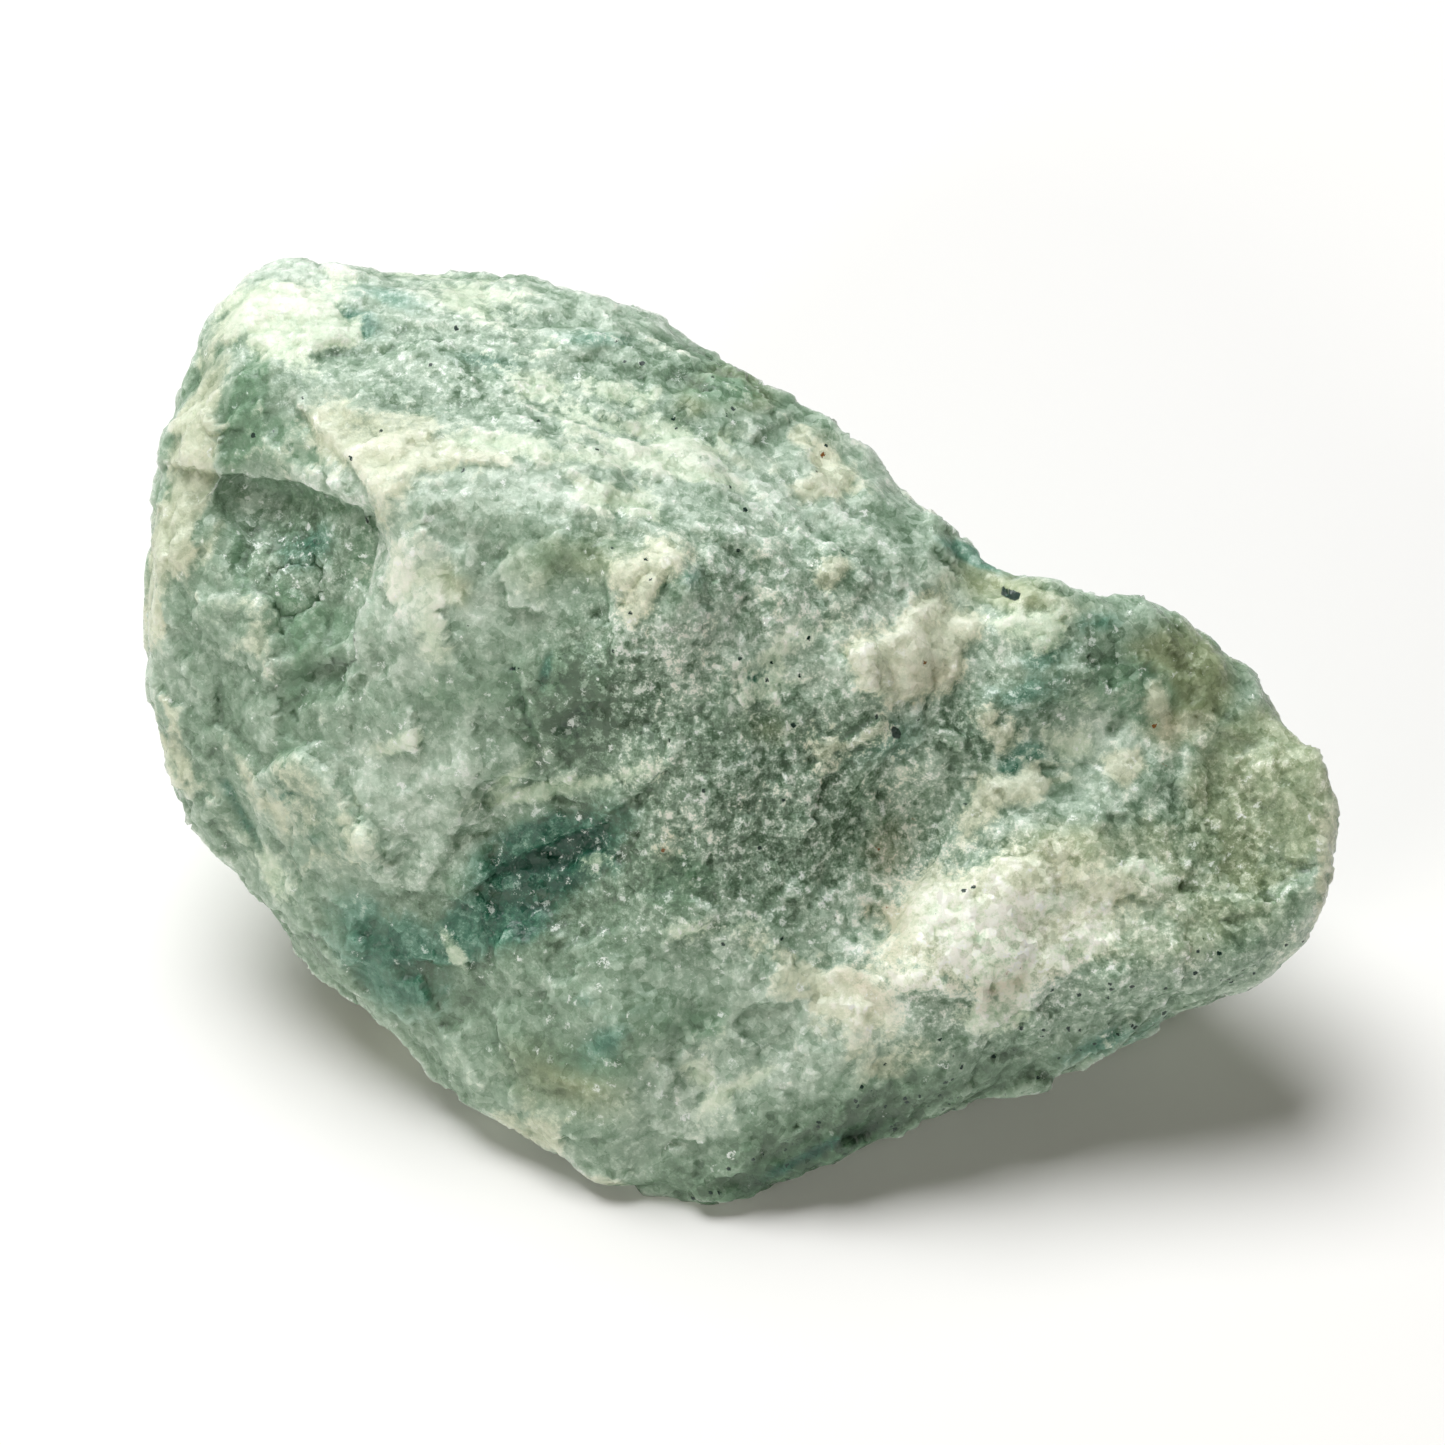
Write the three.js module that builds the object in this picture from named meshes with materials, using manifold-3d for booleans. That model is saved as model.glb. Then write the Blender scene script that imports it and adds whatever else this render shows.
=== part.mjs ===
// A rough chunk of massive green aquamarine, broken from a larger block and left as it split.
// Millimetres, +Z up. The chunk lies on a flat break, at z = 0, with its long side along X.
// The stone is one piece. Its skin is found on a fine grid: the height of every grid point above
// the breaks that bound the chunk is worked out, less the flakes, hollows, ledges and lumps of
// the broken surface, and facets are laid where that height is nothing. The foot is cut flat.
import * as THREE from "three";
import { ConvexGeometry } from "three/addons/geometries/ConvexGeometry.js";
import { ImprovedNoise } from "three/addons/math/ImprovedNoise.js";
import { mergeVertices } from "three/addons/utils/BufferGeometryUtils.js";
import Module from "manifold-3d";

const CELL = 1.5; // side of a grid cell, and so of a facet
const GRID_FROM = new THREE.Vector3(-38.6, -29.9, -3.35);
const GRID_TO = new THREE.Vector3(39, 24, 40);
const SOFTENING = 0.45; // the share of a grid point's height that it takes from its neighbours
const RELIEF_REACH = 4 * CELL; // further than this from the breaks, relief can't move the skin
const WELD = 1e-3; // vertices closer than this are one vertex
const SLAB = { across: 100, depth: 20 }; // what is cut away below the table

// The mineral's sheets lie parallel to the big front break: this is the way they are stacked.
const SHEETS = new THREE.Vector3(0.1, -0.8, 0.6).normalize();

// The relief of the broken surface. Each form has a size across and a height or tilt, and its
// seed says which of its many like patterns it takes.
const SWELLS = { across: 13, height: 0.65, seed: 3.1 };
const LUMPS = { across: 5.5, height: 0.5, seed: 7.7 };
const LUMP_PRESS = 1.6; // how much lumps are pressed together through the sheets
const BREAKS = { across: 8, tilt: 0.1, seed: 1, limit: 0.6, press: 0.8 };
const STEPS = { thickness: 4.2, height: 0.7, seed: 5.3, riseFrom: 0.7, riseTo: 0.95 };
const STEP_WAVER = { across: 11, share: 1.1 }; // how the sheets' edges wander, in sheets
const FLAKE_FRAY = { across: 4, height: 1.2 }; // how a flake's outline wanders
const FLAKE_TOP = 0.55; // the share of a flake's reach that stands at its full height

const STONE = { color: 0x9fb8a6, roughness: 0.42, metalness: 0.0 };

// Corners of the three blocks, as x, y, z. X runs from the blunt end to the narrow end, Y away
// from the big front break, and Z up from the table.
const mainBlock = {
  topBackEdge: [
    [-31, 12, 34.4],
    [-27, 16.2, 36.8],
    [-17, 15.6, 37.2],
    [-4.7, 12.6, 36.8],
    [2, 8.2, 34],
    [8.6, 3.2, 31],
    [14.2, -0.6, 29.2],
    [16, -6.4, 22],
  ],
  topFrontEdge: [
    [-22, 2, 35],
    [-18.8, -3, 33.2],
    [-11, -4.2, 34.2],
    [-4, -6.5, 33.2],
    [1, -5.4, 33],
    [7.6, -5.8, 30.2],
  ],
  frontBreakFoot: [
    [9, -15.6, 15],
    [2, -18.8, 13.5],
    [-5.8, -21, 9],
  ],
  bluntEnd: [
    [-29.8, 3.6, 30],
    [-32.9, 0, 24],
    [-34.5, -2.4, 17.8],
    [-33.6, -6, 12.6],
    [-30.4, -9, 9.8],
    [-32.8, 8, 20],
  ],
  leftFrontBreak: [
    [-25.5, -3.6, 24],
    [-22.5, -7.2, 18],
    [-18.6, -12.1, 13],
    [-24, -13.8, 5.8],
  ],
  back: [
    [-30, 14.4, 24],
    [-23, 19, 19],
    [-7, 18.4, 21],
    [6, 12.6, 19],
    [13, 5, 16],
    [-26, 12, 7],
    [-11, 15.4, 6],
    [4, 11.4, 5],
  ],
  foot: [
    [-0.6, -26.8, 0],
    [-6.6, -25.4, 0.4],
    [-14.2, -21.4, 1.5],
    [-21.6, -8, 1.6],
    [-18, 7, 1.4],
    [-4, 11, 1.6],
    [8, 3, 1.4],
    [6, -12, -0.8],
    [1, -20, -0.7],
    [-11, -13, -1],
    [-12, 3, -1],
    [0, 4, -0.8],
  ],
};

// The hump of the top edge between the saddle and the narrow end.
const shoulder = {
  top: [
    [14.6, -0.6, 28.9],
    [17, -1.6, 30],
    [20, -3, 30.4],
    [24.8, -3.2, 26.8],
    [29.6, -6, 24],
  ],
  frontBreak: [
    [12, -6.5, 26],
    [26.4, -8.8, 21.4],
    [19.8, -9.8, 20.4],
    [9, -15.4, 15.6],
  ],
  inside: [
    [8, -4, 18],
    [12, 0, 20],
    [22, 0.6, 17],
  ],
};

const narrowEnd = {
  topBackEdge: [
    [19, 0.8, 25.6],
    [25.2, -2, 26.2],
    [33, -7, 23.4],
    [35.4, -11.2, 19.8],
  ],
  tip: [
    [35.6, -14.2, 16],
    [34, -16.2, 12],
    [32.6, -8.5, 11],
  ],
  lowerFrontEdge: [
    [8.4, -24, 7],
    [15.6, -21.8, 10.2],
    [24.8, -19, 13.2],
    [32.6, -16.6, 15.6],
  ],
  underside: [
    [31, -16, 9],
    [26.6, -18.9, 7],
    [19.4, -20.2, 5.4],
    [8.8, -23.4, 3.2],
    [0, -26.8, 0.2],
    [9, -8, 1.6],
    [22, -2, 7],
  ],
  back: [
    [16, 6.2, 20],
    [27, 0, 17],
    [28, -3.4, 10],
    [15, 6, 8],
    [8, 9.4, 7],
    [7, 10.4, 18],
  ],
  insideMainBlock: [
    [2, -19.4, 13],
    [-8, -8, 20],
    [-4, 0, 20],
    [-8, -14, 8],
    [-6, 2, 10],
  ],
};

// Chips struck out of the blocks, each the hull of its corners.
const chips = {
  // The square notch below the top break, at the blunt end.
  notch: [
    [-30.3, 0, 32.8],
    [-20.4, -6.4, 35.6],
    [-22.4, -8.2, 27.2],
    [-29.2, -6, 25],
    [-26.9, 3.9, 30.2],
    [-18.4, -2.2, 32.4],
    [-20.4, -4, 25],
    [-26, -2.9, 23.6],
  ],
};

// Flakes that stand proud of the breaks and hollows that sink into them: where each one is,
// how far it reaches across and how high it stands, below zero for a hollow.
const flakesAndHollows = [
  { at: [9.5, -14.6, 17], reach: 5.5, height: -1.5 }, // the brown hollow at the crease
  { at: [-9.4, -15.5, 19], reach: 7, height: -1.1 }, // the deep teal pocket
  { at: [9, -9, 26.5], reach: 5, height: 1.1 }, // the cream flake of the front break
  { at: [-3.6, -7.2, 31], reach: 3.6, height: 0.9 }, // the tooth below the top edge
  { at: [14, -17.4, 14], reach: 6.5, height: 0.9 }, // the white swell of the narrow end
  { at: [-5.5, -21.5, 10.5], reach: 4.5, height: 0.9 }, // the glassy flake above the foot
  { at: [-19.5, -9, 15.5], reach: 5, height: 0.9 }, // the pale knob beside the blunt end
  { at: [27.5, -13.5, 17.5], reach: 6, height: -0.7 }, // the dip before the tip
  { at: [-8, 16, 26], reach: 9, height: 1.4 }, // a swell of the back
  { at: [6, 11, 14], reach: 8, height: -1.6 }, // a scar on the back
  { at: [-27, 12, 15], reach: 7, height: -1.3 }, // a scar behind the blunt end
];

function cornersOf(block) {
  const rows = Array.isArray(block) ? block : Object.values(block).flat();
  return rows.map((corner) => new THREE.Vector3(...corner));
}

// The flat faces of a block's hull, each as an outward plane.
function facesOf(block) {
  const corners = new ConvexGeometry(cornersOf(block)).getAttribute("position");
  const faces = [];
  for (let i = 0; i < corners.count; i += 3) {
    const [a, b, c] = [0, 1, 2].map((k) => new THREE.Vector3().fromBufferAttribute(corners, i + k));
    faces.push(new THREE.Plane().setFromCoplanarPoints(a, b, c));
  }
  return faces;
}

function heightOver(faces, p) {
  return Math.max(...faces.map((face) => face.distanceToPoint(p)));
}

const blockFaces = [mainBlock, shoulder, narrowEnd].map(facesOf);
const chipFaces = Object.values(chips).map(facesOf);

// How high a point lies above the breaks, below zero inside the stone.
function heightOverBreaks(p) {
  const outside = Math.min(...blockFaces.map((faces) => heightOver(faces, p)));
  return Math.max(outside, ...chipFaces.map((faces) => -heightOver(faces, p)));
}

const noise = new ImprovedNoise();

// Noise of about -1 to 1 whose lumps are size across, and thinner through the sheets.
function lumps(p, size, seed) {
  const through = p.dot(SHEETS) * LUMP_PRESS;
  const x = p.x + SHEETS.x * through;
  const y = p.y + SHEETS.y * through;
  const z = p.z + SHEETS.z * through;
  return noise.noise(x / size + seed, y / size + 2 * seed, z / size - seed);
}

// The edges of the sheets stand out as steps: flat for most of each sheet, then a quick rise.
function ledges(p) {
  const waver = STEP_WAVER.share * lumps(p, STEP_WAVER.across, STEPS.seed);
  const level = p.dot(SHEETS) / STEPS.thickness + waver;
  const part = level - Math.floor(level);
  return THREE.MathUtils.smoothstep(part, STEPS.riseFrom, STEPS.riseTo) - part;
}

// A number from 0 to 1 that looks like chance, but is the same every time.
function chance(i, j, k, seed) {
  const x = Math.sin(i * 127.1 + j * 311.7 + k * 74.7 + seed * 53.3) * 43758.5453;
  return x - Math.floor(x);
}

// The small flat break of one cube of space: its middle lies anywhere in the cube, and its
// slope and its step in or out are a matter of chance.
function breakOfCube(i, j, k) {
  const dice = [0, 1, 2, 3, 4, 5, 6].map((n) => chance(i, j, k, BREAKS.seed + n));
  const middle = new THREE.Vector3(i + dice[0], j + dice[1], k + dice[2]);
  return {
    middle: middle.multiplyScalar(BREAKS.across),
    slope: new THREE.Vector3(dice[3] - 0.5, dice[4] - 0.5, dice[5] - 0.5),
    step: 0.5 * BREAKS.across * (dice[6] - 0.5),
  };
}

// Small flat breaks, each tilted its own way and set in or out a little: every point belongs to
// the break whose middle is nearest.
function cleaved(p) {
  const cube = p.clone().divideScalar(BREAKS.across).floor();
  let nearest = Infinity;
  let height = 0;
  for (const dx of [-1, 0, 1]) {
    for (const dy of [-1, 0, 1]) {
      for (const dz of [-1, 0, 1]) {
        const { middle, slope, step } = breakOfCube(cube.x + dx, cube.y + dy, cube.z + dz);
        const away = p.clone().sub(middle);
        const distance = away.length() + BREAKS.press * Math.abs(away.dot(SHEETS));
        if (distance <= nearest) {
          nearest = distance;
          height = BREAKS.tilt * (2 * away.dot(slope) + step);
        }
      }
    }
  }
  return THREE.MathUtils.clamp(height, -BREAKS.limit, BREAKS.limit);
}

function flaked(p) {
  let height = 0;
  for (const form of flakesAndHollows) {
    const fray = FLAKE_FRAY.height * lumps(p, FLAKE_FRAY.across, form.reach);
    const away = p.distanceTo(new THREE.Vector3(...form.at)) + fray;
    const fall = THREE.MathUtils.smoothstep(away, FLAKE_TOP * form.reach, form.reach);
    height += form.height * (1 - fall);
  }
  return height;
}

function relief(p) {
  return (
    SWELLS.height * lumps(p, SWELLS.across, SWELLS.seed) +
    LUMPS.height * lumps(p, LUMPS.across, LUMPS.seed) +
    cleaved(p) +
    STEPS.height * ledges(p) +
    flaked(p)
  );
}

// The heights of all the grid's points above the finished skin.
function gridOfHeights(counts) {
  const heights = new Float32Array(counts.x * counts.y * counts.z);
  const p = new THREE.Vector3();
  let n = 0;
  for (let k = 0; k < counts.z; k++) {
    for (let j = 0; j < counts.y; j++) {
      for (let i = 0; i < counts.x; i++) {
        p.set(i, j, k).multiplyScalar(CELL).add(GRID_FROM);
        const height = heightOverBreaks(p);
        const nearSkin = Math.abs(height) < RELIEF_REACH;
        heights[n++] = nearSkin ? height - relief(p) : height;
      }
    }
  }
  return heights;
}

// Each height averaged with its six neighbours', so that no facet is thinner than a cell.
function softened(heights, steps) {
  const soft = heights.slice();
  const last = heights.length - steps[2];
  for (let n = steps[2]; n < last; n++) {
    const around = steps.reduce((sum, step) => sum + heights[n - step] + heights[n + step], 0);
    soft[n] = (1 - SOFTENING) * heights[n] + (SOFTENING / 6) * around;
  }
  return soft;
}

// A cell's eight corners are numbered so that a corner far along X adds 1, along Y 2, along Z 4.
const CORNERS = [0, 1, 2, 3, 4, 5, 6, 7];
const AXES = [0, 1, 2];

function isFar(corner, axis) {
  return Math.floor(corner / 2 ** axis) % 2 === 1;
}

function placeOf(corner) {
  return new THREE.Vector3(...AXES.map((axis) => (isFar(corner, axis) ? 1 : 0)));
}

// How many grid points on from a cell's first corner another of its corners is.
function offsetOf(corner, steps) {
  return steps.reduce((sum, step, axis) => sum + (isFar(corner, axis) ? step : 0), 0);
}

// The twelve edges of a cell, each as the numbers of its two corners.
const CELL_EDGES = CORNERS.flatMap((from) => {
  const leaving = AXES.filter((axis) => !isFar(from, axis));
  return leaving.map((axis) => [from, from + 2 ** axis]);
});

// Where the skin passes through a cell, in cells from its first corner: the middle of where it
// crosses the cell's edges.
function crossingOf(heights, cell, steps) {
  const middle = new THREE.Vector3();
  let crossings = 0;
  for (const [from, to] of CELL_EDGES) {
    const a = heights[cell + offsetOf(from, steps)];
    const b = heights[cell + offsetOf(to, steps)];
    if (a < 0 !== b < 0) {
      middle.add(placeOf(from).lerp(placeOf(to), a / (a - b)));
      crossings++;
    }
  }
  return crossings > 0 ? middle.divideScalar(crossings) : null;
}

// The facets across the three edges that leave a cell's first corner. Each has a corner in the
// four cells round its edge, and is two triangles that face out of the stone.
function facetsAt(heights, cell, steps, cornerOfCell) {
  const triangles = [];
  for (const axis of AXES) {
    const a = heights[cell];
    const b = heights[cell + steps[axis]];
    if (a < 0 !== b < 0) {
      const across = steps[(axis + 1) % 3];
      const along = steps[(axis + 2) % 3];
      const ring = [cell, cell - across, cell - across - along, cell - along];
      const [q, r, s, t] = ring.map((one) => cornerOfCell.get(one));
      triangles.push(...(a < 0 ? [q, r, s, q, s, t] : [q, s, r, q, t, s]));
    }
  }
  return triangles;
}

// The skin of the stone: one corner in every cell that the skin passes through, and one
// four-sided facet across every edge that it crosses.
function roughSkin() {
  const counts = GRID_TO.clone().sub(GRID_FROM).divideScalar(CELL).ceil();
  const steps = [1, counts.x, counts.x * counts.y];
  const heights = softened(gridOfHeights(counts), steps);
  const positions = [];
  const index = [];
  const cornerOfCell = new Map();
  for (let k = 0; k < counts.z - 1; k++) {
    for (let j = 0; j < counts.y - 1; j++) {
      for (let i = 0; i < counts.x - 1; i++) {
        const cell = i + j * steps[1] + k * steps[2];
        const corner = crossingOf(heights, cell, steps);
        if (corner !== null) {
          corner.add(new THREE.Vector3(i, j, k)).multiplyScalar(CELL).add(GRID_FROM);
          cornerOfCell.set(cell, positions.length / 3);
          positions.push(corner.x, corner.y, corner.z);
          index.push(...facetsAt(heights, cell, steps, cornerOfCell));
        }
      }
    }
  }
  const skin = new THREE.BufferGeometry();
  skin.setAttribute("position", new THREE.Float32BufferAttribute(positions, 3));
  skin.setIndex(index);
  return skin;
}

const wasm = await Module();
wasm.setup();

function solidOf(mesh) {
  const vertProperties = new Float32Array(mesh.getAttribute("position").array);
  const triVerts = new Uint32Array(mesh.index.array);
  return new wasm.Manifold(new wasm.Mesh({ numProp: 3, vertProperties, triVerts }));
}

function geometryOf(solid) {
  const { vertProperties, triVerts } = solid.getMesh();
  const geometry = new THREE.BufferGeometry();
  const positions = new Float32Array(vertProperties);
  geometry.setAttribute("position", new THREE.BufferAttribute(positions, 3));
  geometry.setIndex(new THREE.BufferAttribute(new Uint32Array(triVerts), 1));
  return geometry;
}

// Everything below the table, which is cut away to leave the flat break that the stone lies on.
function belowTable() {
  const slab = new THREE.BoxGeometry(SLAB.across, SLAB.across, SLAB.depth);
  slab.translate(0, 0, -SLAB.depth / 2);
  slab.deleteAttribute("normal");
  slab.deleteAttribute("uv");
  return mergeVertices(slab, WELD);
}

function makeStone() {
  const geometry = geometryOf(solidOf(roughSkin()).subtract(solidOf(belowTable())));
  geometry.computeVertexNormals();
  geometry.computeBoundingBox();
  return geometry;
}

// The chunk's frame has its origin under the middle of the stone, on the table.
const stone = new THREE.Mesh(makeStone(), new THREE.MeshStandardMaterial(STONE));
stone.name = "aquamarine_stone";
const { min, max } = stone.geometry.boundingBox;
stone.position.set(-(min.x + max.x) / 2, -(min.y + max.y) / 2, -min.z);

const chunk = new THREE.Group();
chunk.add(stone);

export default chunk;
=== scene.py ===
# A raw aquamarine: one rough, massive chunk of cloudy green stone, lying as it broke.
import math

import bpy
import numpy as np
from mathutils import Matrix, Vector


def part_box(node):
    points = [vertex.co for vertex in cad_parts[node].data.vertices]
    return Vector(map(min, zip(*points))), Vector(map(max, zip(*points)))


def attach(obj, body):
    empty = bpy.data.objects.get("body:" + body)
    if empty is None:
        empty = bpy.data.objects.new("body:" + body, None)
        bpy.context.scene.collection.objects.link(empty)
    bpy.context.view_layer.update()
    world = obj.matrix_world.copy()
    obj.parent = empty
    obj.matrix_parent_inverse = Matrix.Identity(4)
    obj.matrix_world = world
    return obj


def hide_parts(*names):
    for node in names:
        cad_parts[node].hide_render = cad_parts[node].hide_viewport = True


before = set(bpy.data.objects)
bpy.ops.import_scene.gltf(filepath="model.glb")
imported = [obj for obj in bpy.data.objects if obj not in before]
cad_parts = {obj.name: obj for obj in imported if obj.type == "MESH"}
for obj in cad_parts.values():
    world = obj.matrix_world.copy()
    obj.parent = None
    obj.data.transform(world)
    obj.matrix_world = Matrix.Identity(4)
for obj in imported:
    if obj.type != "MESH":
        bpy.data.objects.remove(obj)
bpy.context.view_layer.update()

MM = 0.001
STONE_NODE = "aquamarine_stone"

# The camera looks down at the stone from in front. A pixel of the photograph, which is
# PHOTO_SIDE pixels wide and high, is used below to say where a mark on the stone lies.
PHOTO_SIDE = 1445
FOCAL_PIXELS = 4080
ELEVATION = math.radians(45)
AIM = Vector((-0.68, 2.95, 14)) * MM
AWAY = 240 * MM
PIXELS_PER_MM = FOCAL_PIXELS / (AWAY / MM)

VIEW_RIGHT = Vector((1, 0, 0))
VIEW_UP = Vector((0, math.sin(ELEVATION), math.cos(ELEVATION)))
VIEW_BACK = Vector((0, -math.cos(ELEVATION), math.sin(ELEVATION)))

# The mineral lies in sheets, stacked along this way, nearly parallel to the big front break.
SHEETS = Vector((-0.24, -0.78, 0.58)).normalized()

# The stone's mesh
VOXEL = 0.33 * MM  # spacing of the finished surface's corners
SOFTENING_ROUNDS = 12  # enough to lose the facets of the CAD solid
SAME_CORNER = 0.005 * MM  # corners of the CAD mesh closer than this are one
BASE_RIM = 0.25 * MM  # the flat break below this height keeps its place
SHARP_EDGE = math.radians(45)  # steeper breaks than this keep a hard edge

# Edges of the marks
FRAY = 0.35  # mm by which the widest marks' edges waver
SOFT_EDGE = 1.2  # mm over which the widest marks end, and three times as much for broad tones
PROUD = 0.6  # share of its rise that a mark gets, which keeps its edge from looking cut
WAVERS = ((0.6, 1.7, 2.3), (0.4, 0.7, 5.1))  # share, width in mm and seed of each waver

# How far the surface faces the camera, from 0, edge on, to 1, straight on, where marks fade in
MARK_FADE = (-0.12, 0.08)
CRYSTAL_FADE = (0.1, 0.25)

# Small breaks of the surface: how many mm across, how steep they tilt, how many mm they step in
# or out, and "thin", which makes them 1 + thin times thinner through the sheets than along them.
BREAKS = {
    "large": {"across": 9.0, "tilt": 0.09, "step": 0.10, "thin": 1.0, "seed": 3.1},
    "medium": {"across": 3.8, "tilt": 0.14, "step": 0.14, "thin": 1.8, "seed": 7.7},
    "small": {"across": 1.7, "tilt": 0.14, "step": 0.05, "thin": 1.4, "seed": 1.9},
}

GRAIN = 0.5  # mm across a crystal grain

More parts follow.
